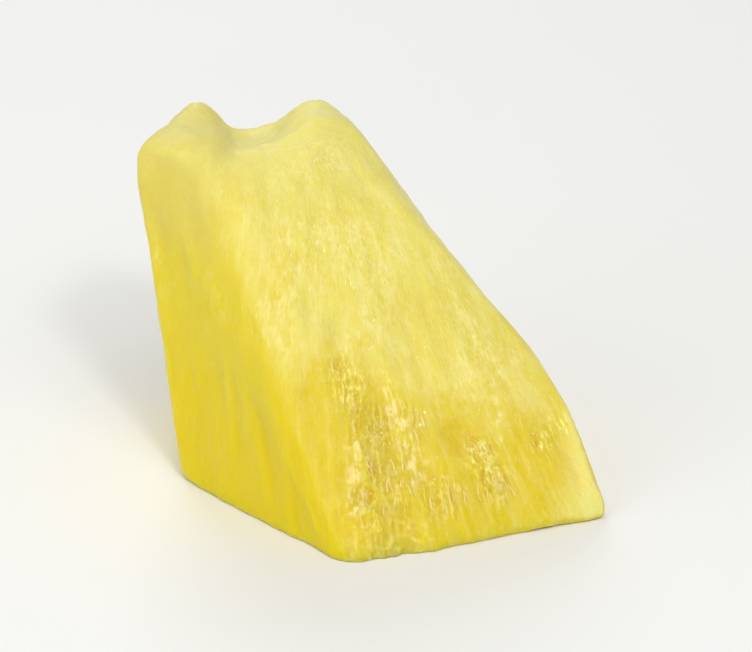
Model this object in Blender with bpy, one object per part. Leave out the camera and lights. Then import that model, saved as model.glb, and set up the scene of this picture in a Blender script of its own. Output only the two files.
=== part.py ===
"""A wedge-shaped chunk of fresh pineapple, standing on its trimmed rind side.

The chunk is one solid piece of flesh. Its narrow end, at the top, was next to the fruit's core, and its
broad foot is where the rind was cut away. Knife cuts make its sides: front, right, back, a narrow one at
the back left, and left. The fibres run down it and spread from the core, and show on each cut as low
ridges. Low on the front, beside the ridge where front and left meet, the flesh is torn and not cut.
Lengths are in metres, +Z is up, and the origin is at the middle of the foot of the chunk's box.
"""

import math

import bmesh
import bpy
from mathutils import Vector, noise

MM = 0.001
NAME = "pineapple_chunk"

# The block that the knife leaves.
FOOT_WIDTH = 28.2 * MM
FOOT_DEPTH = 27.0 * MM
TOP_WIDTH = 15.0 * MM
TOP_DEPTH = 8.6 * MM
HEIGHT = 25.3 * MM
TOP_OVERHANG = 3.6 * MM  # the top's left side past the foot's
TOP_SETBACK = 13.4 * MM  # the top's front behind the foot's
ARRIS_ROUNDING = 0.7 * MM
SOFT_ROUNDING = 2.6 * MM  # of the ridge between front and left, and of the top's front
FLAT_ANGLE = math.radians(12)  # a bend between two faces below this isn't an arris

# Corners as shares of the width and depth of the foot and of the top, and for the top of the height.
FOOT_CORNERS = {
    "front": (0.39, 0.0),
    "right": (1.0, 0.24),
    "back_right": (0.84, 1.0),
    "back_left": (0.0, 0.96),
    "left": (0.0, 0.47),
}
TOP_CORNERS = {
    "front": (0.31, 0.0, 0.955),
    "right": (1.0, 0.52, 0.955),
    "back_right": (0.84, 1.0, 0.985),
    "back_left": (0.27, 0.92, 0.985),
    "left": (0.03, 0.32, 0.92),
}
SIDES = {
    "front": ("front", "right"),
    "right": ("right", "back_right"),
    "back": ("back_right", "back_left"),
    "back_left": ("back_left", "left"),
    "left": ("left", "front"),
}

# How far the middle of a side stands out of its flat cut, or in where it is less than nothing.
SIDE_SWELL = {
    "front": 0.5 * MM,
    "right": 0.35 * MM,
    "back": 0.4 * MM,
    "back_left": 0.1 * MM,
    "left": -0.7 * MM,
}
ON_SIDE = (0.72, 0.97)  # cosines of the turn from a side's cut where a surface starts and ends joining it

# The arris between front and right bows out in the plane of the front.
BOW = 2.1 * MM
BOW_UP = 0.3  # share of the height where it is most
BOW_SPREAD = 0.2  # share of the height
BOW_REACH = 8.0 * MM  # in from the arris

# The core end: two rounded knobs with a notch between them.
TOP_SOFTENED_FROM = 0.86  # share of the height
TOP_SOFTENING = 5  # passes
NOTCH_DEPTH = 2.2 * MM
NOTCH_FRONT = 0.25  # share of its depth that it has at the front
NOTCH_ACROSS = 0.51  # share of the top's width
NOTCH_STEEP_WALL = 1.7 * MM  # from its middle to the left knob
NOTCH_SLOW_WALL = 3.6 * MM  # from its middle to the right knob
NOTCH_FADE = 8.5 * MM  # over this height, down the chunk

# The fibres and the unevenness of a soft cut.
FIBRE_SOURCE = (3.3 * MM, 20.4 * MM, 39.5 * MM)  # the point near the core that they spread from
BUNDLE_WIDTH = 1.5 * MM  # one ridge, halfway down the chunk
BUNDLE_RELIEF = 0.18 * MM
UNEVENNESS = 0.3 * MM
UNEVEN_SPACING = 7.0 * MM
ARRIS_NICKS = 0.35 * MM
NICK_SPACING = 3.2 * MM

# The torn strip: shares of the front's width and of the height, from the ridge and from the foot.
TORN_ACROSS = 0.5
TORN_UP = 0.5
TORN_DEPTH = 0.45 * MM
TORN_WANDER = 0.12  # share by which its edge wanders
WANDER_SPACING = 3.0 * MM
FLAKE_RELIEF = 0.6 * MM
FLAKE_WIDTH = 1.7 * MM
FLAKE_LENGTH = 2.4 * MM
FLAKE_RAGGEDNESS = 1.6 * MM

# The foot: cut flat, with the shallow hollows that the fruit's eyes left, in rows set off by half.
FOOT_TRIM = 0.25 * MM
EYE_SPACING = 12.5 * MM
EYE_ROW_GAP = 9.5 * MM
FIRST_EYE = (10.5 * MM, 7.8 * MM)  # from the corner of the foot's box
EYE_RADIUS = 2.7 * MM
EYE_DEPTH = 1.1 * MM
UNDERSIDE = (0.7, 0.95)  # cosines of the turn from straight down where the foot starts and ends
RIM_SOFTENED_TO = 1.4 * MM  # above the foot
RIM_SOFTENING = 2  # passes

# The facets.
FACET_SIZE = 0.45 * MM
FACETS_KEPT = 0.31  # share, fewest where the surface is flattest
SMALLEST_EDGE = 0.03 * MM
SHARP_ANGLE = math.radians(60)

FLESH_COLOUR = "ead968"
FLESH_ROUGHNESS = 0.35


def linear(hex_colour):
    """An sRGB hex colour as linear red, green, blue and alpha."""
    channels = [int(hex_colour[i : i + 2], 16) / 255 for i in (0, 2, 4)]
    return [c / 12.92 if c <= 0.04045 else ((c + 0.055) / 1.055) ** 2.4 for c in channels] + [1.0]


def smooth_step(low, high, value):
    share = min(max((value - low) / (high - low), 0.0), 1.0)
    return share * share * (3.0 - 2.0 * share)


def foot_corner(name):
    across, back = FOOT_CORNERS[name]
    return Vector((across * FOOT_WIDTH, back * FOOT_DEPTH, 0.0))


def top_corner(name):
    across, back, up = TOP_CORNERS[name]
    x = across * TOP_WIDTH - TOP_OVERHANG
    y = back * TOP_DEPTH + TOP_SETBACK
    return Vector((x, y, up * HEIGHT))


def fibre_frame():
    """The point near the core that the fibres spread from, and how far from it the chunk's middle is."""
    corners = [top_corner(name) for name in TOP_CORNERS] + [foot_corner(name) for name in FOOT_CORNERS]
    middle = sum(corners, Vector()) / len(corners)
    source = Vector(FIBRE_SOURCE)
    return source, (middle - source).length


def side_facing(name):
    """The direction that a side faces."""
    first, second = SIDES[name]
    low = foot_corner(first)
    high = (top_corner(first) + top_corner(second)) / 2
    return (foot_corner(second) - low).cross(high - low).normalized()


def side_place(name, point):
    """Where a point is on a side: shares of its width, left to right from outside, and of the height."""
    first, second = SIDES[name]
    up = point.z / HEIGHT
    left = foot_corner(first).lerp(top_corner(first), up)
    right = foot_corner(second).lerp(top_corner(second), up)
    width = right - left
    return (point - left).dot(width) / width.length_squared, up


def side_share(facing, normal):
    """How much of a surface belongs to a side that faces this way: 1 on its flat, 0 round the corner."""
    return smooth_step(*ON_SIDE, facing.dot(normal))


def clear_scene():
    for obj in list(bpy.data.objects):
        bpy.data.objects.remove(obj)


def cut_block():
    """The chunk as the knife leaves it: the hull of its corners. A soft arris has the full bevel weight."""
    mesh = bpy.data.meshes.new(NAME)
    block = bmesh.new()
    foot = {name: block.verts.new(foot_corner(name)) for name in FOOT_CORNERS}
    top = {name: block.verts.new(top_corner(name)) for name in TOP_CORNERS}
    bmesh.ops.convex_hull(block, input=block.verts)
    soft = [{foot["front"], top["front"]}, {top["front"], top["right"]}]
    weight = block.edges.layers.float.new("bevel_weight_edge")
    for edge in block.edges:
        if set(edge.verts) in soft:
            edge[weight] = 1.0
        elif edge.calc_face_angle() > FLAT_ANGLE:
            edge[weight] = ARRIS_ROUNDING / SOFT_ROUNDING
    block.to_mesh(mesh)
    block.free()
    chunk = bpy.data.objects.new(NAME, mesh)
    bpy.context.scene.collection.objects.link(chunk)
    return chunk


def apply_modifiers(chunk):
    graph = bpy.context.evaluated_depsgraph_get()
    shaped = bpy.data.meshes.new_from_object(chunk.evaluated_get(graph))
    chunk.modifiers.clear()
    chunk.data = shaped
    shaped.name = NAME


def round_arrises(chunk):
    """Rounds the arrises, then covers the block with even facets."""
    bevel = chunk.modifiers.new("round_arrises", "BEVEL")
    bevel.width = SOFT_ROUNDING
    bevel.segments = 4
    bevel.limit_method = "WEIGHT"
    remesh = chunk.modifiers.new("even_facets", "REMESH")
    remesh.mode = "VOXEL"
    remesh.voxel_size = FACET_SIZE
    apply_modifiers(chunk)


def thin_facets(chunk):
    """Leaves the small facets where the flesh is torn or rounded, and larger ones elsewhere."""
    thin = chunk.modifiers.new("thin_facets", "DECIMATE")
    thin.ratio = FACETS_KEPT
    apply_modifiers(chunk)


def soften(mesh, verts, passes):
    for _ in range(passes):
        bmesh.ops.smooth_vert(
            mesh,
            verts=verts,
            factor=0.5,
            use_axis_x=True,
            use_axis_y=True,
            use_axis_z=True,
        )


def notch_top(mesh):
    """Sinks the notch between the two knobs, deepest at the back of the top."""
    centre = NOTCH_ACROSS * TOP_WIDTH - TOP_OVERHANG
    starts = TOP_SETBACK - 0.2 * TOP_DEPTH
    ends = TOP_SETBACK + 0.8 * TOP_DEPTH
    for vert in mesh.verts:
        wall = NOTCH_STEEP_WALL if vert.co.x < centre else NOTCH_SLOW_WALL
        off = (vert.co.x - centre) / wall
        back = NOTCH_FRONT + (1.0 - NOTCH_FRONT) * smooth_step(starts, ends, vert.co.y)
        rise = smooth_step(HEIGHT - NOTCH_FADE, HEIGHT - 0.15 * NOTCH_FADE, vert.co.z)
        vert.co.z -= NOTCH_DEPTH * back * rise / (1.0 + off**4)


def bow_right_arris(mesh):
    """Pushes the arris between front and right outwards, in the plane of the front."""
    foot = foot_corner("right")
    run = (top_corner("right") - foot).normalized()
    outwards = run.cross(side_facing("front"))
    for vert in mesh.verts:
        off = vert.co - foot
        inset = (off - run * off.dot(run)).length
        near = 1.0 - smooth_step(0.0, BOW_REACH, inset)
        up = (vert.co.z / HEIGHT - BOW_UP) / BOW_SPREAD
        vert.co += outwards * (BOW * near * math.exp(-up * up / 2.0))


def swell(point, normal, facings):
    """The gentle swell or hollow of each side, most at its middle."""
    total = 0.0
    for name, facing in facings.items():
        across, up = side_place(name, point)
        arch_across = max(4.0 * across * (1.0 - across), 0.0)
        arch_up = max(4.0 * up * (1.0 - up), 0.0)
        total += SIDE_SWELL[name] * side_share(facing, normal) * math.sqrt(arch_across * arch_up)
    return total


def along_fibres(point, fibres, width):
    """A place in a pattern drawn out along the fibres: one unit for each width of them."""
    source, reach = fibres
    run = point - source
    return run.normalized() * (reach + 0.12 * run.length) / width


def bundles(point, fibres):
    """The ridges of the fibre bundles, each with finer ones on it."""
    place = along_fibres(point, fibres, BUNDLE_WIDTH)
    coarse = noise.noise(place)
    fine = noise.noise(place * 2.1 + Vector((5.3, 1.7, 8.9)))
    return coarse + 0.5 * fine


def nicks(point, normal, facings):
    """Small nicks in the arrises: most where no side claims the surface."""
    claimed = max(side_share(facing, normal) for facing in facings.values())
    return (1.0 - claimed) * noise.noise(point / NICK_SPACING + Vector((2.2, 7.4, 3.1)))


def torn_share(point, normal, facings):
    """1 in the middle of the torn strip, fading to 0 at its uneven edge."""
    across, up = side_place("front", point)
    wander = TORN_WANDER * noise.noise(point / WANDER_SPACING)
    in_from_ridge = smooth_step(0.0, 0.12, across)
    over = 1.0 - smooth_step(0.55 * TORN_ACROSS, TORN_ACROSS, across + wander)
    rise = 1.0 - smooth_step(0.6 * TORN_UP, TORN_UP, up + wander)
    return in_from_ridge * over * rise * side_share(facings["front"], normal)


def flakes(point, fibres):
    """The shreds of the torn strip: steep-sided, and broken across here and there."""
    raggedness = 0.35 * noise.noise(point / FLAKE_RAGGEDNESS)
    place = along_fibres(point, fibres, FLAKE_WIDTH) + Vector((9.1, 4.2, 0.6 + raggedness))
    breaks = noise.noise(point / FLAKE_LENGTH + Vector((1.1, 6.6, 2.9)))
    return smooth_step(-0.12, 0.16, noise.noise(place)) - 0.5 + 0.6 * breaks


def eye_hollow(point):
    """How deep a point lies in the nearest eye's hollow: 0 outside it, 1 at its middle."""
    row = round((point.y - FIRST_EYE[1]) / EYE_ROW_GAP)
    start = FIRST_EYE[0] + (row % 2) * EYE_SPACING / 2
    place = round((point.x - start) / EYE_SPACING)
    centre = Vector((start + place * EYE_SPACING, FIRST_EYE[1] + row * EYE_ROW_GAP, 0.0))
    return 1.0 - smooth_step(0.15, 1.0, (point - centre).length / EYE_RADIUS)


def relieve(mesh):
    """Raises the swells, fibres and flakes and sinks the nicks and hollows, square to the surface."""
    facings = {name: side_facing(name) for name in SIDES}
    fibres = fibre_frame()
    mesh.normal_update()
    moves = []
    for vert in mesh.verts:
        point = vert.co
        normal = vert.normal
        torn = torn_share(point, normal, facings)
        lift = swell(point, normal, facings)
        lift += UNEVENNESS * noise.noise(point / UNEVEN_SPACING)
        lift += BUNDLE_RELIEF * (1.0 + torn) * bundles(point, fibres)
        lift += ARRIS_NICKS * nicks(point, normal, facings)
        lift += torn * (FLAKE_RELIEF * flakes(point, fibres) - TORN_DEPTH)
        lift *= 1.0 - smooth_step(*UNDERSIDE, -normal.z)
        lift -= EYE_DEPTH * eye_hollow(point)
        moves.append(normal * lift)
    for vert, move in zip(mesh.verts, moves):
        vert.co += move


def shape_flesh(chunk):
    mesh = bmesh.new()
    mesh.from_mesh(chunk.data)
    top = [vert for vert in mesh.verts if vert.co.z > TOP_SOFTENED_FROM * HEIGHT]
    soften(mesh, top, TOP_SOFTENING)
    notch_top(mesh)
    bow_right_arris(mesh)
    relieve(mesh)
    rim = [vert for vert in mesh.verts if vert.co.z < RIM_SOFTENED_TO]
    soften(mesh, rim, RIM_SOFTENING)
    mesh.to_mesh(chunk.data)
    mesh.free()


def trim_foot(mesh):
    """Cuts the foot flat, and closes the cut with flat faces that leave the eyes' hollows open."""
    bmesh.ops.bisect_plane(
        mesh,
        geom=mesh.verts[:] + mesh.edges[:] + mesh.faces[:],
        dist=SMALLEST_EDGE,
        plane_co=(0.0, 0.0, FOOT_TRIM),
        plane_no=(0.0, 0.0, 1.0),
        clear_inner=True,
    )
    cut = [vert for vert in mesh.verts if vert.is_boundary]
    bmesh.ops.remove_doubles(mesh, verts=cut, dist=SMALLEST_EDGE)
    for vert in mesh.verts:
        if vert.is_boundary:
            vert.co.z = FOOT_TRIM
    rim = [edge for edge in mesh.edges if edge.is_boundary]
    bmesh.ops.triangle_fill(mesh, edges=rim, use_beauty=True)
    bmesh.ops.triangulate(mesh, faces=mesh.faces)
    bmesh.ops.recalc_face_normals(mesh, faces=mesh.faces)


def centre_on_foot(mesh):
    """Puts the origin at the bottom centre of the chunk's box."""
    xs = [vert.co.x for vert in mesh.verts]
    ys = [vert.co.y for vert in mesh.verts]
    shift = Vector((-(min(xs) + max(xs)) / 2, -(min(ys) + max(ys)) / 2, -FOOT_TRIM))
    bmesh.ops.translate(mesh, verts=mesh.verts, vec=shift)


def stand_on_foot(chunk):
    mesh = bmesh.new()
    mesh.from_mesh(chunk.data)
    trim_foot(mesh)
    centre_on_foot(mesh)
    mesh.to_mesh(chunk.data)
    mesh.free()
    chunk.data.shade_smooth()
    chunk.data.set_sharp_from_angle(angle=SHARP_ANGLE)


def give_flesh_material(chunk):
    flesh = bpy.data.materials.new("fruit_flesh")
    flesh.use_nodes = True
    shader = flesh.node_tree.nodes["Principled BSDF"]
    shader.inputs["Base Color"].default_value = linear(FLESH_COLOUR)
    shader.inputs["Roughness"].default_value = FLESH_ROUGHNESS
    shader.inputs["Metallic"].default_value = 0.0
    chunk.data.materials.clear()
    chunk.data.materials.append(flesh)


def main():
    clear_scene()
    chunk = cut_block()
    round_arrises(chunk)
    shape_flesh(chunk)
    thin_facets(chunk)
    stand_on_foot(chunk)
    give_flesh_material(chunk)


main()
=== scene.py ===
import math
import random

import bpy
import numpy as np
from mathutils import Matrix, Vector, noise
from mathutils.bvhtree import BVHTree


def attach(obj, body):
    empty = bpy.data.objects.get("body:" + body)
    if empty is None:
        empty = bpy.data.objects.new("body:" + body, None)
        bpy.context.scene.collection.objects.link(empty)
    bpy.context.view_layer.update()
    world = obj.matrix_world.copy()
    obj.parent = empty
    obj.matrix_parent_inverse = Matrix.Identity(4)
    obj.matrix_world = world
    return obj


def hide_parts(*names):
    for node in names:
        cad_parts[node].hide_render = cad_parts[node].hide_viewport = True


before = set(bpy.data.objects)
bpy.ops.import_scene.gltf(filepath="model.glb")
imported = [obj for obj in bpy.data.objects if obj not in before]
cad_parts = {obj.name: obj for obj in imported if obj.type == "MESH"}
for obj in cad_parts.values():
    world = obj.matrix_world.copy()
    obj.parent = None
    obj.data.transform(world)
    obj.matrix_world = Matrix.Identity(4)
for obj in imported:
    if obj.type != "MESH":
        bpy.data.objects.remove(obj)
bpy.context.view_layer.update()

mm = 0.001

# the fibres spread from a point near the fruit's core, above the narrow end of the chunk
fibreSet = {
    "source": (-4.5, 7.0, 39.3),  # mm
    "reach": 29.0,  # mm from there to the chunk's middle, where a fibre has its stated width
}

cameraSet = {
    "lookAt": (0.3, 0.0, 11.0),  # mm
    "elevation": 26.2,
    "distance": 410.0,  # mm
    "frameWidth": 50.0,  # mm across the picture at the chunk
    "sensor": 36.0,
    "clip": (0.01, 20.0),  # m
}


def deselectAll():
    for thing in bpy.context.selected_objects:
        thing.select_set(False)


def makeActive(thing):
    deselectAll()
    thing.select_set(True)
    bpy.context.view_layer.objects.active = thing


def linearColour(hexColour):
    channels = [int(hexColour[i : i + 2], 16) / 255 for i in (0, 2, 4)]
    return [c / 12.92 if c <= 0.04045 else ((c + 0.055) / 1.055) ** 2.4 for c in channels] + [1.0]


def smoothStep(low, high, value):
    share = np.clip((value - low) / (high - low), 0.0, 1.0)
    return share * share * (3.0 - 2.0 * share)


def noiseAt(places):
    # one value for each row, from about -1 to 1
    return np.array([noise.noise(place) for place in places.tolist()])


def setInput(tree, socket, value):
    # takes a value, a hex colour or another node's output
    if isinstance(value, bpy.types.NodeSocket):
        tree.links.new(value, socket)
    else:
        socket.default_value = linearColour(value) if isinstance(value, str) else value


def addNode(tree, kind, inputs=None, out=0, **settings):
    node = tree.nodes.new("ShaderNode" + kind)
    for name, value in settings.items():
        setattr(node, name, value)
    for name, value in (inputs or {}).items():
        setInput(tree, node.inputs[name], value)
    return node.outputs[out]


def spread(tree, field, span, least, most, **settings):
    # a field's span of values taken to least and most
    inputs = {"Value": field, "From Min": span[0], "From Max": span[1], "To Min": least, "To Max": most}
    return addNode(tree, "MapRange", inputs, **settings)


def newMaterial(name, constants):
    material = bpy.data.materials.new(name)
    material.use_nodes = True
    tree = material.node_tree
    shader = tree.nodes["Principled BSDF"]
    for socket, value in constants.items():
        setInput(tree, shader.inputs[socket], value)
    return material, tree, shader


def placeCamera(settings):
    bpy.ops.object.camera_add()
    camera = bpy.context.object
    camera.name = "camera"
    tilt = math.radians(settings["elevation"])
    away = settings["distance"] * mm
    aim = Vector(settings["lookAt"]) * mm
    camera.location = aim + Vector((0.0, -math.cos(tilt), math.sin(tilt))) * away
    camera.rotation_euler = (math.pi / 2 - tilt, 0.0, 0.0)
    camera.data.sensor_width = settings["sensor"]
    camera.data.lens = settings["sensor"] * settings["distance"] / settings["frameWidth"]
    camera.data.clip_start, camera.data.clip_end = settings["clip"]
    bpy.context.scene.camera = camera


placeCamera(cameraSet)
print("camera placed")


# lengths in mm
fleshSet = {
    "voxel": 0.24,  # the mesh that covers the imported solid
    "easing": (0.5, 4),  # strength and passes of what takes its facets off
    "tornCuts": 3,  # in each edge of the torn flesh, for its thin shreds
    "leastTorn": 0.05,  # where those cuts are made
    "facings": {"front": (0.28, -0.79, 0.55), "left": (-0.76, -0.65, 0.0)},
    # noise drawn out along the fibres: width across them, stretch along them, a shift to other noise,
    # and for lines with a sharp crest, how sharp
    "drawn": {
        "ridges": (1.3, 0.1, 0.0, 2.6),
        "bundles": (0.7, 0.14, 7.3),
        "cells": (0.5, 0.4, 19.7),
        "pits": (0.8, 0.4, 31.0),
        "rough": (0.7, 0.25, 41.0, 2.2),
        "cords": (0.5, 0.14, 3.1, 2.8),
        "fineCords": (0.27, 0.12, 17.0, 2.4),
    },
    # noise that is alike in all directions: width and shift
    "even": {
        "ridgePatches": (4.0, 2.7),
        "pitPatches": (3.0, 12.0),
        "rawEdge": (1.6, 8.0),
        "fineRawEdge": (0.6, 0.0),
        "hollowEdge": (0.9, 40.0),
        "breaks": (1.1, 5.0),
        "fineBreaks": (0.55, 15.0),
        "crumbs": (0.34, 27.0),
        "bendAcross": (1.5, 0.0),
        "bendBack": (1.5, 11.0),
        "bendUp": (1.5, 23.0),
    },
    # how far each pattern raises or sinks the surface
    "relief": {
        "ridges": 0.05,
        "bundles": 0.04,
        "cells": 0.025,
        "pits": 0.07,
        "rough": 0.07,
        "cords": 0.19,
        "fineCords": 0.06,
        "crumbs": 0.12,
        "hollow": 0.18,
    },
    "ridgePatchSpan": (-0.25, 0.4),
    "ridgesBetween": 0.2,  # the ridges' share outside their patches
    "pitPatchSpan": (0.1, 0.5),
    "pitSpan": (0.2, 0.6),
    # below this line the front's flesh is rougher and lies deeper: x and z
    "rawEdge": (
        (-6.0, -4.0, -2.9, -0.5, 1.8, 3.7, 6.5, 8.5, 10.1, 12.3, 13.7, 15.5),
        (9.0, 11.0, 11.8, 10.8, 9.1, 7.9, 7.2, 5.6, 6.8, 7.0, 5.4, 1.2),
    ),
    "rawWander": (1.0, 0.5),  # how far the line wanders, and the finer part's share of that
    "rawFade": (-2.2, 1.4),
    "rawDepth": 0.16,
    # the torn places, where shreds stand up: a centre and a radius
    "tornSpots": (
        ((-2.1, -6.4, 11.2), 0.9),
        ((-1.2, -7.0, 9.5), 1.6),
        ((0.3, -7.8, 7.4), 2.2),
        ((2.3, -7.0, 7.5), 1.5),
        ((0.7, -9.4, 5.1), 2.7),
        ((0.8, -11.0, 2.6), 3.0),
        ((1.2, -12.2, 0.2), 3.4),
        ((7.0, -6.8, 5.2), 1.2),
        ((8.2, -7.7, 3.2), 1.6),
        ((11.2, -5.6, 4.8), 1.0),
        ((4.8, -9.4, 3.0), 1.8),
    ),
    # where paler fibre shows in the torn flesh, with painted highlights on it, and where juice stands in
    # it, with painted glints
    "creamFibreAndHighlightSpots": (
        ((1.2, -6.9, 9.6), 0.7),
        ((1.5, -7.1, 8.6), 0.9),
        ((1.8, -7.4, 7.5), 1.0),
        ((2.3, -7.8, 6.3), 1.0),
        ((2.8, -8.4, 5.1), 0.9),
        ((3.0, -8.9, 4.2), 0.7),
        ((-1.1, -8.7, 6.0), 0.6),
        ((-1.2, -9.3, 4.8), 0.8),
        ((-1.1, -9.9, 3.6), 0.8),
        ((-1.1, -10.5, 2.4), 0.8),
    ),
    # painted glints: bright specks with darker golden ones round them, where juice stands
    "paintedGlintSpots": (
        ((-1.9, -6.7, 10.4), 1.2),
        ((-1.2, -7.0, 9.4), 1.0),
        ((7.1, -7.2, 5.0), 1.1),
        ((7.9, -7.6, 3.9), 0.9),
        ((12.6, -4.6, 6.0), 1.1),
        ((11.4, -5.4, 5.2), 0.9),
        ((4.1, -9.1, 3.8), 0.4),
        ((5.1, -9.8, 2.6), 0.4),
        ((1.2, -6.9, 10.1), 0.5),
    ),
    "tornRagged": 0.8,  # the size of the bays in a spot's edge
    "spotRagged": 0.6,
    "spotUneven": 0.42,  # and how deep they are, in radii
    "spotFade": (0.4, 1.15),
    # the cords of torn flesh: how far they bend, where they are cut short, how they vary, how deep they sit
    "cordBend": 0.25,
    "cordCut": (-0.7, 1.0),
    "cordBreaks": (0.6, 0.9),
    "fineBreaks": 0.6,
    "cordSeat": 0.2,
    "fineCordSeat": 0.4,
    # an old carpel's hollow, sunk a little into the front: centre, radius, how uneven, and its edge
    "hollow": ((5.6, -6.9, 6.3), 1.7, 0.25, (0.2, 1.1)),
    "footEdge": (0.0, 0.35),  # the height in which the relief fades, so that the foot stays flat
    "footRelief": 0.3,  # the share of it that the underside has
    # how high a torn cord's top, or how deep the dip beside it, must be for its full colour: pale fibre
    # with painted highlight on top, painted shade in the dip
    "tornCrests": (0.0, 0.2),
    "tornGaps": (0.05, 0.28),
    "ridgeCrests": (0.01, 0.07),
    # where things are: rows of a measure, where it begins and where it is full, that are multiplied
    "zones": {
        "torn": (("front", 0.15, 0.5),),
        "raw": (("front", 0.2, 0.55),),
        "front": (("front", 0.35, 0.8),),
        # clear: the left side, which gets painted shade, a deeper golden where it faces away from the light
        "clear": (("left", 0.7, 0.98),),
        # rim: a painted highlight, pale grey, along the edge that runs down from the right knob
        "rim": (("front", 0.15, 0.5), ("front", 0.8, 0.35), ("x", -6.0, -2.0), ("z", 12.0, 17.0)),
        # painted light: the lower right of the front is painted paler, where the light falls on it
        "paintedLightLowRight": (("front", 0.35, 0.8), ("x", 10.8, 14.4), ("z", 11.0, 5.0)),
        # painted light: faces turned back get a richer golden to make up for the weak light that reaches
        # them
        "paintedLightBehind": (("back", -0.25, 0.45), ("up", 0.9, 0.25)),
        # painted light: the notch's upturned floor is painted paler, as if lit
        "paintedLightSaddle": (("x", -9.8, -8.4), ("x", -2.5, -5.0), ("up", 0.6, 0.85), ("z", 20.0, 21.5)),
        # painted shade: the upper left, by the left knob, is painted darker
        "paintedShadeLeftHigh": (("x", -8.5, -11.5), ("z", 15.0, 20.0)),
        "tip": (("z", 22.3, 23.8), ("back", 0.0, 0.6)),
        "under": (("up", -0.75, -0.95),),
        "eye": (("up", -0.75, -0.95), ("z", 0.1, 0.9)),
    },
    # how much of one thing goes where another lies
    # less of the raw flesh's golden on the lower right, which is painted paler with light
    "lessRawLowRight": 0.7,
    # the pale fibre marks are fainter on the left side, which is painted in shade
    "lessFibrousOnLeftSide": 0.65,
    "lessSpeckledWhereRaw": 0.7,
    "speckledBetween": 0.25,  # the speckles' share outside the patches of ridges
}


def evenNoise(points, width, shift):
    return noiseAt(points / width + shift)


def drawnNoise(points, width, stretch, shift, sharpness=None):
    run = points - np.array(fibreSet["source"])
    length = np.linalg.norm(run, axis=1, keepdims=True)
    values = noiseAt(run / length * (fibreSet["reach"] + stretch * length) / width + shift)
    return 1.0 - sharpness * np.abs(values) if sharpness else values


def zoneShare(points, normals, name, settings):
    fields = {facing: normals @ np.array(way) for facing, way in settings["facings"].items()}
    fields |= {"x": points[:, 0], "z": points[:, 2], "back": normals[:, 1], "up": normals[:, 2]}
    share = np.ones(len(points))
    for field, none, full in settings["zones"][name]:
        share *= smoothStep(none, full, fields[field])
    return share


def spotShare(points, spots, ragged, settings):
    # 1 inside the spots, fading at an uneven edge; a centre is taken to the nearest point of the flesh
    uneven = settings["spotUneven"] * noiseAt(points / ragged)
    share = np.zeros(len(points))
    for centre, radius in spots:
        nearest = points[np.argmin(np.linalg.norm(points - np.array(centre), axis=1))]
        off = np.linalg.norm(points - nearest, axis=1) / radius + uneven
        share = np.maximum(share, 1.0 - smoothStep(*settings["spotFade"], off))
    return share


def tornShare(points, normals, settings):
    share = spotShare(points, settings["tornSpots"], settings["tornRagged"], settings)
    return share * zoneShare(points, normals, "torn", settings)


def rawShare(points, normals, settings):
    even = settings["even"]
    wander, fineWander = settings["rawWander"]
    wavy = evenNoise(points, *even["rawEdge"]) + fineWander * evenNoise(points, *even["fineRawEdge"])
    edge = np.interp(points[:, 0], *settings["rawEdge"]) + wander * wavy
    share = smoothStep(*settings["rawFade"], edge - points[:, 2])
    return share * zoneShare(points, normals, "raw", settings)


def hollowShare(points, settings):
    centre, radius, uneven, edge = settings["hollow"]
    off = np.linalg.norm(points - np.array(centre), axis=1) / radius
    off += uneven * evenNoise(points, *settings["even"]["hollowEdge"])
    return 1.0 - smoothStep(*edge, off)


def readMesh(mesh):
    count = len(mesh.vertices)
    points = np.empty(count * 3, np.float32)
    normals = np.empty(count * 3, np.float32)
    mesh.vertices.foreach_get("co", points)
    mesh.vertex_normals.foreach_get("vector", normals)
    return points.reshape(-1, 3).astype(float) / mm, normals.reshape(-1, 3).astype(float)


def readShare(mesh, name):
    values = np.empty(len(mesh.vertices), np.float32)
    mesh.attributes[name].data.foreach_get("value", values)
    return values


def coverFlesh(settings):
    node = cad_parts["pineapple_chunk"]
    flesh = bpy.data.objects.new("pineapple_flesh", node.data.copy())
    bpy.context.scene.collection.objects.link(flesh)
    makeActive(flesh)
    bpy.ops.object.mode_set(mode="EDIT")
    bpy.ops.mesh.select_all(action="SELECT")
    bpy.ops.mesh.remove_doubles(threshold=1e-6)
    bpy.ops.mesh.customdata_custom_splitnormals_clear()
    bpy.ops.object.mode_set(mode="OBJECT")
    remesh = flesh.modifiers.new("cover", "REMESH")
    remesh.mode = "VOXEL"
    remesh.voxel_size = settings["voxel"] * mm
    bpy.ops.object.modifier_apply(modifier=remesh.name)
    smooth = flesh.modifiers.new("easeFacets", "SMOOTH")
    smooth.factor, smooth.iterations = settings["easing"]
    bpy.ops.object.modifier_apply(modifier=smooth.name)
    return flesh


def refineTorn(flesh, settings):
    torn = tornShare(*readMesh(flesh.data), settings)
    makeActive(flesh)
    bpy.ops.object.mode_set(mode="EDIT")
    bpy.ops.mesh.select_mode(type="VERT")
    bpy.ops.mesh.select_all(action="DESELECT")
    bpy.ops.object.mode_set(mode="OBJECT")
    flesh.data.vertices.foreach_set("select", torn > settings["leastTorn"])
    bpy.ops.object.mode_set(mode="EDIT")
    bpy.ops.mesh.subdivide(number_cuts=settings["tornCuts"])
    bpy.ops.mesh.select_all(action="SELECT")
    bpy.ops.mesh.quads_convert_to_tris()
    bpy.ops.object.mode_set(mode="OBJECT")


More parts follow.
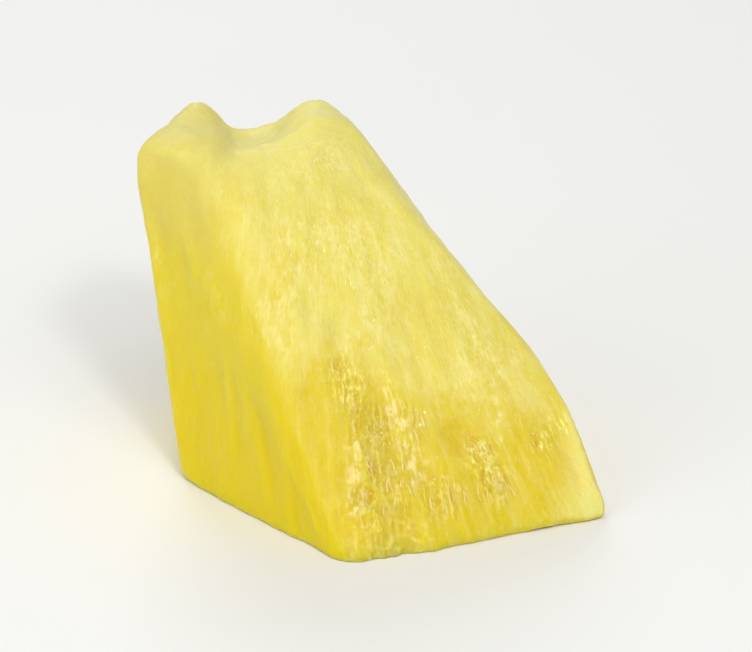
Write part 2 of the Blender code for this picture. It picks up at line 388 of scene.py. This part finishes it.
def shredRelief(points, settings):
    # cords of fibre side by side, broken across here and there, with crumbs of flesh on them
    drawn, even, relief = settings["drawn"], settings["even"], settings["relief"]
    bend = [evenNoise(points, *even[name]) for name in ("bendAcross", "bendBack", "bendUp")]
    bent = points + settings["cordBend"] * np.stack(bend, axis=1)
    breaks = evenNoise(points, *even["breaks"])
    breaks += settings["fineBreaks"] * evenNoise(points, *even["fineBreaks"])
    whole, broken = settings["cordBreaks"]
    cords = np.clip(drawnNoise(bent, *drawn["cords"]), *settings["cordCut"]) * (whole + broken * breaks)
    lift = relief["cords"] * (cords - settings["cordSeat"])
    lift += relief["fineCords"] * (drawnNoise(bent, *drawn["fineCords"]) - settings["fineCordSeat"])
    return lift + relief["crumbs"] * evenNoise(points, *even["crumbs"])


def cutRelief(points, patches, raw, settings):
    # the cut flesh: ridges of fibre in patches, finer bundles, juice cells, and a pit here and there
    drawn, even, relief = settings["drawn"], settings["even"], settings["relief"]
    least = settings["ridgesBetween"]
    ridges = np.clip(drawnNoise(points, *drawn["ridges"]), 0.0, 1.0) ** 2
    lift = relief["ridges"] * ridges * (least + (1.0 - least) * patches) * (1.0 - raw)
    lift += relief["bundles"] * drawnNoise(points, *drawn["bundles"])
    lift += relief["cells"] * drawnNoise(points, *drawn["cells"])
    rare = smoothStep(*settings["pitPatchSpan"], evenNoise(points, *even["pitPatches"]))
    lift -= relief["pits"] * (rare * smoothStep(*settings["pitSpan"], drawnNoise(points, *drawn["pits"])))
    return lift + raw * (relief["rough"] * drawnNoise(points, *drawn["rough"]) - settings["rawDepth"])


def raiseFlesh(flesh, settings):
    points, normals = readMesh(flesh.data)
    torn = tornShare(points, normals, settings)
    raw = np.maximum(rawShare(points, normals, settings), torn)
    hollow = hollowShare(points, settings)
    patches = evenNoise(points, *settings["even"]["ridgePatches"])
    patches = smoothStep(*settings["ridgePatchSpan"], patches)
    shredded = shredRelief(points, settings)
    lift = cutRelief(points, patches, raw, settings)
    lift += torn * shredded
    lift -= settings["relief"]["hollow"] * hollow

    above = smoothStep(*settings["footEdge"], points[:, 2])
    under = zoneShare(points, normals, "under", settings)
    lift *= np.maximum(above, under) * (1.0 - (1.0 - settings["footRelief"]) * under)
    moved = points + normals * lift[:, None]
    moved[:, 2] = np.maximum(moved[:, 2], 0.0)
    flesh.data.vertices.foreach_set("co", (moved * mm).astype(np.float32).ravel())
    flesh.data.update()

    zoned = ("front", "clear", "rim", "paintedLightLowRight", "paintedLightBehind", "paintedLightSaddle", "paintedShadeLeftHigh", "tip", "eye")
    zones = {name: zoneShare(points, normals, name, settings) for name in zoned}
    front = zones.pop("front")
    least = settings["speckledBetween"]
    speckled = front * (1.0 - settings["lessSpeckledWhereRaw"] * raw) * (least + (1.0 - least) * patches)
    shares = zones | {
        "torn": torn,
        "raw": raw * (1.0 - settings["lessRawLowRight"] * zones["paintedLightLowRight"]),
        "crestFibreAndHighlight": torn * smoothStep(*settings["tornCrests"], shredded),
        "paintedShadeGap": torn * smoothStep(*settings["tornGaps"], -shredded),
        "ridge": smoothStep(*settings["ridgeCrests"], lift) * (1.0 - raw),
        "hollow": hollow,
        "creamFibreAndHighlight": spotShare(points, settings["creamFibreAndHighlightSpots"], settings["spotRagged"], settings),
        "paintedGlint": spotShare(points, settings["paintedGlintSpots"], settings["spotRagged"], settings),
        "fibrous": 1.0 - settings["lessFibrousOnLeftSide"] * zones["clear"],
        "speckled": speckled,
    }
    for name, values in shares.items():
        attribute = flesh.data.attributes.new(name, "FLOAT", "POINT")
        attribute.data.foreach_set("value", values.astype(np.float32))
    flesh.data.shade_smooth()


juicyFlesh = {
    "ground": "e9dd72",
    # width in mm, stretch along the fibres or None for none, detail
    "patterns": {
        "mottle": (4.2, None, 3.0),
        "cloud": (1.6, 0.45, 3.0),
        "blotch": (0.75, None, 2.0),
        "streaks": (1.2, 0.12, 3.0),
        "hairs": (0.3, 0.05, 2.0),
        "grain": (0.22, 0.5, 2.0),
        "speckle": (0.3, 0.5, 1.0),
        "flecks": (0.32, 0.28, 2.0),
        "film": (0.5, 0.6, 1.0),
    },
    "shares": (
        *("torn", "raw", "crestFibreAndHighlight", "paintedShadeGap", "ridge", "hollow", "clear", "fibrous", "speckled", "paintedLightLowRight"),
        *("rim", "tip", "creamFibreAndHighlight", "paintedGlint", "eye", "paintedLightBehind", "paintedLightSaddle", "paintedShadeLeftHigh"),
    ),
    # pattern, its low and high value, the layer's share at each, colour, and where; fromCore is in mm
    "layers": (
        ("fromCore", 25.0, 50.0, 0.0, 0.9, "e2c926"),
        ("mottle", 0.38, 0.7, 0.0, 0.45, "e3ce3a"),
        # painted light: a richer golden on faces turned back, where little light falls
        ("paintedLightBehind", 0.0, 1.0, 0.0, 0.5, "f0d22e"),
        ("cloud", 0.46, 0.68, 0.0, 0.4, "f5eca0", "fibrous"),
        ("blotch", 0.46, 0.68, 0.0, 0.44, "f6eda2", "speckled"),
        # painted light: paler at the lower right of the front
        ("paintedLightLowRight", 0.0, 1.0, 0.0, 0.9, "f9ec92"),
        ("raw", 0.0, 1.0, 0.0, 0.65, "e2c914"),
        # painted shade: the left side is painted a deeper golden
        ("fromCore", 17.0, 28.0, 0.0, 0.8, "e3ce10", "clear"),
        ("fromCore", 28.0, 42.0, 0.0, 0.5, "e2c804", "clear"),
        ("fromCore", 15.0, 22.5, 0.7, 0.0, "e0d982"),  # paler and greyer beside the core
        ("streaks", 0.5, 0.72, 0.0, 0.22, "e3ca26"),
        ("hairs", 0.5, 0.75, 0.0, 0.2, "f8efb4", "fibrous"),
        ("grain", 0.52, 0.75, 0.0, 0.2, "f8efb4", "fibrous"),
        ("grain", 0.25, 0.45, 0.24, 0.0, "dcb820"),
        ("speckle", 0.56, 0.7, 0.0, 0.4, "fbf2b8", "speckled"),
        ("speckle", 0.3, 0.42, 0.35, 0.0, "e2c418", "speckled"),
        ("ridge", 0.0, 1.0, 0.0, 0.2, "f8efb4", "fibrous"),
        # painted shade: a darker golden in the sunk hollow
        ("hollow", 0.0, 1.0, 0.0, 0.24, "dcb61a"),
        ("eye", 0.0, 1.0, 0.0, 0.55, "c8992a"),
        # painted shade: a deeper golden in the dips between the torn cords
        ("paintedShadeGap", 0.0, 1.0, 0.0, 0.25, "e2c430"),
        # the tops of the torn cords: paler fibre, with a painted highlight on them
        ("crestFibreAndHighlight", 0.0, 0.8, 0.0, 0.4, "f5de86"),
        # painted highlights: near-white flecks on the cord tops
        ("flecks", 0.5, 0.66, 0.0, 0.55, "ffeaa4", "crestFibreAndHighlight"),
        # painted highlights of wet shreds, near white, over paler fibre
        ("flecks", 0.43, 0.61, 0.0, 0.85, "ffeca6", "creamFibreAndHighlight"),
        # painted glints: bright specks, and darker golden specks beside them
        ("speckle", 0.5, 0.62, 0.0, 0.9, "fff28a", "paintedGlint"),
        ("speckle", 0.3, 0.43, 0.4, 0.0, "d8c03c", "paintedGlint"),
        # painted highlight: pale grey along the edge below the right knob
        ("rim", 0.0, 1.0, 0.0, 0.4, "e4dfa0"),
        ("tip", 0.0, 1.0, 0.0, 0.25, "c2b274"),
        # painted light: paler on the floor of the notch
        ("paintedLightSaddle", 0.0, 1.0, 0.0, 0.24, "fdf292"),
        # painted shade: darker on the upper left, by the left knob
        ("paintedShadeLeftHigh", 0.0, 1.0, 0.0, 0.32, "d4c66a"),
    ),
    "patternRoughness": 0.58,
    "grainSpan": (0.3, 0.7),
    "roughness": (0.3, 0.48),
    "hairsInBump": 0.5,
    "bump": (0.8, 0.06),  # strength, and mm
    # small flat wet facets, each tilted its own way, and the film of juice over them
    "facetWidth": 0.27,  # mm
    "facetTilt": 0.35,
    "filmRelief": 0.05,  # mm
    "wet": (0.08, 0.35),  # the coat on cut flesh, and what torn flesh adds
    "constants": {
        "IOR": 1.36,
        "Specular IOR Level": 0.32,
        "Specular Tint": "fff4cc",
        "Subsurface Weight": 0.8,
        "Subsurface Radius": (1.0, 0.84, 0.18),
        "Subsurface Scale": 2.2 * mm,
        "Coat Roughness": 0.07,
        "Coat IOR": 1.45,
    },
}


def fleshFields(tree, place, settings):
    source = [value * mm for value in fibreSet["source"]]
    run = addNode(tree, "VectorMath", {0: place, 1: source}, operation="SUBTRACT")
    length = addNode(tree, "VectorMath", {0: run}, "Value", operation="LENGTH")
    straight = addNode(tree, "VectorMath", {0: run}, operation="NORMALIZE")
    fields = {"fromCore": addNode(tree, "Math", {0: length, 1: 1.0 / mm}, operation="MULTIPLY")}
    for name, (width, stretch, detail) in settings["patterns"].items():
        spot = place
        if stretch:
            drawn = {0: length, 1: stretch, 2: fibreSet["reach"] * mm}
            drawn = addNode(tree, "Math", drawn, operation="MULTIPLY_ADD")
            spot = addNode(tree, "VectorMath", {0: straight, "Scale": drawn}, operation="SCALE")
        sizes = {"Vector": spot, "Scale": 1.0 / (width * mm), "Detail": detail}
        sizes["Roughness"] = settings["patternRoughness"]
        fields[name] = addNode(tree, "TexNoise", sizes)
    for name in settings["shares"]:
        fields[name] = addNode(tree, "Attribute", out="Fac", attribute_name=name)
    return fields


def layeredColour(tree, fields, settings):
    colour = settings["ground"]
    for name, low, high, least, most, tint, *where in settings["layers"]:
        share = spread(tree, fields[name], (low, high), least, most, interpolation_type="SMOOTHSTEP")
        if where:
            share = addNode(tree, "Math", {0: share, 1: fields[where[0]]}, operation="MULTIPLY")
        colour = addNode(tree, "Mix", {0: share, 6: colour, 7: tint}, 2, data_type="RGBA")
    return colour


def facetBump(tree, place, film, settings):
    # a facet's height is its tilt times the way from its centre
    sizes = {"Vector": place, "Scale": 1.0 / (settings["facetWidth"] * mm)}
    cell = addNode(tree, "TexVoronoi", sizes, "Color")
    tilt = addNode(tree, "VectorMath", {0: cell, 1: (0.5, 0.5, 0.5)}, operation="SUBTRACT")
    within = {0: place, 1: cell.node.outputs["Position"]}
    within = addNode(tree, "VectorMath", within, operation="SUBTRACT")
    facets = addNode(tree, "VectorMath", {0: tilt, 1: within}, "Value", operation="DOT_PRODUCT")
    filmShare = settings["filmRelief"] * mm / settings["facetTilt"]
    height = addNode(tree, "Math", {0: film, 1: filmShare, 2: facets}, operation="MULTIPLY_ADD")
    return addNode(tree, "Bump", {"Height": height, "Strength": 1.0, "Distance": settings["facetTilt"]})


def fleshMaterial(settings):
    # fresh pineapple, cut with a knife: light enters the juice cells, so it is soft and clear yellow, with
    # paler fibres, and a thin film of juice gives small sharp glints
    material, tree, shader = newMaterial("wet_pineapple_flesh", settings["constants"])
    place = addNode(tree, "TexCoord", out="Object")
    fields = fleshFields(tree, place, settings)
    roughness = spread(tree, fields["grain"], settings["grainSpan"], *settings["roughness"])
    height = {0: fields["hairs"], 1: settings["hairsInBump"], 2: fields["grain"]}
    height = addNode(tree, "Math", height, operation="MULTIPLY_ADD")
    strength, relief = settings["bump"]
    bump = addNode(tree, "Bump", {"Height": height, "Strength": strength, "Distance": relief * mm})
    cut, torn = settings["wet"]
    wet = addNode(tree, "Math", {0: fields["torn"], 1: torn, 2: cut}, operation="MULTIPLY_ADD")
    setInput(tree, shader.inputs["Base Color"], layeredColour(tree, fields, settings))
    setInput(tree, shader.inputs["Roughness"], roughness)
    setInput(tree, shader.inputs["Normal"], bump)
    setInput(tree, shader.inputs["Coat Weight"], wet)
    setInput(tree, shader.inputs["Coat Normal"], facetBump(tree, place, fields["film"], settings))
    return material


flesh = coverFlesh(fleshSet)
refineTorn(flesh, fleshSet)
raiseFlesh(flesh, fleshSet)
flesh.data.materials.clear()
flesh.data.materials.append(fleshMaterial(juicyFlesh))
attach(flesh, "root")
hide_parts("pineapple_chunk")
print("flesh made:", len(flesh.data.vertices), "points,", len(flesh.data.polygons), "faces")


def wetMaterial(settings):
    # wet and half clear: a cloudy colour, soft light from within, and a coat of juice with one clear glint
    material, tree, shader = newMaterial(settings["name"], settings["constants"])
    place = addNode(tree, "TexCoord", out="Object")
    scale = 1.0 / (settings["cloudWidth"] * mm)
    cloudy = addNode(tree, "TexNoise", {"Vector": place, "Scale": scale, "Detail": 2.0})
    dark, light = settings["colours"]
    share = spread(tree, cloudy, settings["cloudSpan"], 0.0, 1.0)
    colour = addNode(tree, "Mix", {0: share, 6: dark, 7: light}, 2, data_type="RGBA")
    strength, relief = settings["bump"]
    bump = addNode(tree, "Bump", {"Height": cloudy, "Strength": strength, "Distance": relief * mm})
    setInput(tree, shader.inputs["Base Color"], colour)
    roughness = spread(tree, cloudy, settings["cloudSpan"], *settings["roughness"])
    setInput(tree, shader.inputs["Roughness"], roughness)
    setInput(tree, shader.inputs["Normal"], bump)
    return material


# loose ends of fibre on the torn flesh; lengths in mm
shredSet = {
    "count": 72,
    "seed": 11,
    "leastTorn": 0.5,  # where one may start
    "leastHeight": 2.8,
    "mostRight": 10.0,
    "length": (0.45, 1.35),
    "thickness": (0.06, 0.13),
    "lumps": (0.6, 1.4),  # times the thickness
    "taper": (0.25, 0.1),  # the ends' share of the thickness, and how far they run
    "points": 7,
    "rise": 0.1,  # the most that a free end stands off
    "leastRise": 0.1,  # as a share of that
    "riseCurve": 2.5,
    "sway": 0.32,
    "swayTurn": 3.0,
    "sunk": 0.02,
    # paler than the flesh, soft, and hardly wet
    "look": {
        "name": "torn_pineapple_fibre",
        "cloudWidth": 0.5,
        "cloudSpan": (0.3, 0.7),
        "colours": ("f2d85e", "fdeca4"),
        "roughness": (0.3, 0.48),
        "bump": (0.4, 0.02),
        "constants": {
            "Subsurface Weight": 0.15,
            "Subsurface Radius": juicyFlesh["constants"]["Subsurface Radius"],
            "Subsurface Scale": 0.1 * mm,
            "Coat Weight": 0.12,
            "Coat Roughness": 0.05,
        },
    },
}


def fibreDirection(point, normal):
    run = (point - Vector(fibreSet["source"])).normalized()
    return (run - normal * run.dot(normal)).normalized()


def laidStrand(surface, place, normal, length, rise, settings, draw):
    # follows the flesh down along its fibres, and leaves it at both ends
    sway = settings["sway"] * draw.uniform(-1.0, 1.0)
    steps = settings["points"] - 1
    line = []
    for step in range(steps + 1):
        share = step / steps
        risen = rise * abs(2.0 * share - 1.0) ** settings["riseCurve"]
        line.append(place + normal * (risen - settings["sunk"]))
        ahead = fibreDirection(place, normal)
        ahead += ahead.cross(normal) * sway * math.sin(settings["swayTurn"] * share + length)
        nextPlace, nextNormal, _, _ = surface.find_nearest((place + ahead * length / steps) * mm)
        place = nextPlace / mm
        normal = (normal + nextNormal).normalized()
    return line


def makeShreds(flesh, settings):
    draw = random.Random(settings["seed"])
    endShare, endRun = settings["taper"]
    surface = BVHTree.FromObject(flesh, bpy.context.evaluated_depsgraph_get())
    points = readMesh(flesh.data)[0]
    allowed = (points[:, 2] > settings["leastHeight"]) & (points[:, 0] < settings["mostRight"])
    starts = np.flatnonzero(allowed & (readShare(flesh.data, "torn") > settings["leastTorn"]))
    bpy.ops.curve.primitive_bezier_curve_add()
    shreds = bpy.context.object
    shreds.name = "torn_fibres"
    shreds.data.splines.clear()
    shreds.data.bevel_depth = mm  # each point's radius is in mm
    shreds.data.bevel_resolution = 1
    shreds.data.use_fill_caps = True
    for _ in range(settings["count"]):
        vert = flesh.data.vertices[int(starts[draw.randrange(len(starts))])]
        length = draw.uniform(*settings["length"])
        rise = settings["rise"] * draw.uniform(settings["leastRise"], 1.0)
        thickness = draw.uniform(*settings["thickness"])
        line = laidStrand(surface, vert.co / mm, vert.normal.copy(), length, rise, settings, draw)
        spline = shreds.data.splines.new("NURBS")
        spline.points.add(len(line) - 1)
        spline.use_endpoint_u = True
        spline.order_u = 4
        spline.resolution_u = 3
        for place, point in enumerate(line):
            along = endRun + (1.0 - 2.0 * endRun) * place / (len(line) - 1)
            taper = endShare + (1.0 - endShare) * math.sin(math.pi * along)
            spline.points[place].co = (*(point * mm), 1.0)
            spline.points[place].radius = 0.5 * thickness * taper * draw.uniform(*settings["lumps"])
    makeActive(shreds)
    bpy.ops.object.convert(target="MESH")
    bpy.ops.object.transform_apply(location=True, rotation=True, scale=True)
    shreds.data.shade_smooth()
    return shreds


shreds = makeShreds(flesh, shredSet)
shreds.data.materials.clear()
shreds.data.materials.append(wetMaterial(shredSet["look"]))
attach(shreds, "root")
print("loose fibres made:", len(shreds.data.polygons), "faces")


# juice that stands in grains where the flesh is torn; lengths in mm
beadSet = {
    "seed": 5,
    # a centre, how far from it the grains lie, and how many
    "clusters": (
        ((-1.5, -7.3, 8.7), 0.9, 14),
        ((-2.4, -6.4, 10.6), 0.8, 8),
        ((0.9, -7.5, 7.6), 0.9, 14),
        ((1.6, -8.2, 6.2), 0.9, 14),
        ((6.8, -6.8, 5.9), 0.8, 9),
        ((7.6, -7.6, 4.3), 0.8, 10),
        ((8.3, -7.9, 3.2), 0.7, 9),
        ((4.1, -9.2, 3.9), 0.8, 7),
        ((5.1, -9.7, 3.0), 0.7, 6),
        ((11.3, -5.4, 5.5), 0.9, 8),
        ((0.2, -10.4, 3.8), 2.0, 24),
        ((0.4, -8.6, 5.6), 1.8, 22),
        ((8.6, -6.6, 5.0), 3.0, 16),
    ),
    "scatter": 0.5,  # a grain's usual way from the centre, as a share of that
    "radius": (0.03, 0.11),
    "fewLarge": 1.5,
    "length": (1.0, 1.4),  # times the radius
    "flatness": (0.4, 0.7),
    "raised": 0.3,  # times its thickness
    "leastUp": -0.5,  # none lies under the foot
    "segments": 8,
    "rings": 6,
    # clear deep yellow with one sharp glint
    "look": {
        "name": "pineapple_juice",
        "cloudWidth": 0.5,
        "cloudSpan": (0.3, 0.7),
        "colours": ("ecc834", "f8e070"),
        "roughness": (0.06, 0.096),
        "bump": (0.4, 0.02),
        "constants": {
            "Subsurface Weight": 0.15,
            "Subsurface Radius": juicyFlesh["constants"]["Subsurface Radius"],
            "Subsurface Scale": 0.1 * mm,
            "Coat Weight": 1.0,
            "Coat Roughness": 0.05,
        },
    },
}


def makeBeads(flesh, settings):
    draw = random.Random(settings["seed"])
    surface = BVHTree.FromObject(flesh, bpy.context.evaluated_depsgraph_get())
    sizes = {"segments": settings["segments"], "ring_count": settings["rings"]}
    bpy.ops.mesh.primitive_uv_sphere_add(radius=mm, **sizes)
    model = bpy.context.object
    low, high = settings["radius"]
    beads = []
    for centre, reach, count in settings["clusters"]:
        for _ in range(count):
            off = Vector([draw.gauss(0.0, settings["scatter"]) for _ in range(3)]) * reach
            spot, normal, _, _ = surface.find_nearest((Vector(centre) + off) * mm)
            if normal.z < settings["leastUp"]:
                continue
            radius = low + (high - low) * draw.random() ** settings["fewLarge"]
            flat = radius * draw.uniform(*settings["flatness"])
            bead = model.copy()
            bead.data = model.data.copy()
            bpy.context.scene.collection.objects.link(bead)
            bead.rotation_euler = normal.to_track_quat("Z", "Y").to_euler()
            bead.scale = (radius, radius * draw.uniform(*settings["length"]), flat)
            bead.location = spot + normal * (flat * settings["raised"] * mm)
            beads.append(bead)
    bpy.data.objects.remove(model)
    deselectAll()
    for bead in beads:
        bead.select_set(True)
    bpy.context.view_layer.objects.active = beads[0]
    bpy.ops.object.join()
    bpy.ops.object.transform_apply(location=True, rotation=True, scale=True)
    joined = bpy.context.object
    joined.name = "juice_grains"
    joined.data.shade_smooth()
    return joined


beads = makeBeads(flesh, beadSet)
beads.data.materials.clear()
beads.data.materials.append(wetMaterial(beadSet["look"]))
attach(beads, "root")
print("juice made:", len(beads.data.polygons), "faces")


stageSet = {
    "floorSize": 4.0,  # m
    "floorColour": "f3f3f1",
    "floorCloud": 30.0,  # to the metre
    "cloudSpan": (0.3, 0.7),
    "floorRoughness": (0.55, 0.65),
    "worldColour": "ffffff",
    "worldStrength": 0.45,
    "lightsAimAt": (0.0, 0.0, 0.01),  # m
    # place in m, size in m, watts
    "lights": {
        "key": ((0.1, -0.3, 0.4), 0.3, 0.7),
        "fill": ((-0.35, -0.25, 0.2), 0.4, 0.55),
        "rim": ((-0.1, 0.4, 0.3), 0.25, 0.62),
        "glint": ((0.1, -0.34, 0.36), 0.06, 0.5),
    },
}


def paintedFloor(settings):
    # matt paint, so the chunk's shadow is all that shows on it
    material, tree, shader = newMaterial("matt_painted_board", {"Base Color": settings["floorColour"]})
    place = addNode(tree, "TexCoord", out="Object")
    cloudy = addNode(tree, "TexNoise", {"Vector": place, "Scale": settings["floorCloud"], "Detail": 2.0})
    roughness = spread(tree, cloudy, settings["cloudSpan"], *settings["floorRoughness"])
    setInput(tree, shader.inputs["Roughness"], roughness)
    return material


def dressStage(settings):
    deselectAll()
    bpy.ops.mesh.primitive_plane_add(size=settings["floorSize"])
    floor = bpy.context.object
    floor.name = "floor"
    floor.data.materials.append(paintedFloor(settings))
    world = bpy.data.worlds.new("studio")
    bpy.context.scene.world = world
    world.use_nodes = True
    sky = world.node_tree.nodes["Background"]
    sky.inputs["Color"].default_value = linearColour(settings["worldColour"])
    sky.inputs["Strength"].default_value = settings["worldStrength"]
    for name, (place, size, power) in settings["lights"].items():
        ahead = Vector(settings["lightsAimAt"]) - Vector(place)
        turn = ahead.to_track_quat("-Z", "Y").to_euler()
        bpy.ops.object.light_add(type="AREA", location=place, rotation=turn)
        lamp = bpy.context.object
        lamp.name = name
        lamp.data.size = size
        lamp.data.energy = power
    bpy.context.scene.view_settings.view_transform = "Standard"


dressStage(stageSet)
print("stage dressed")
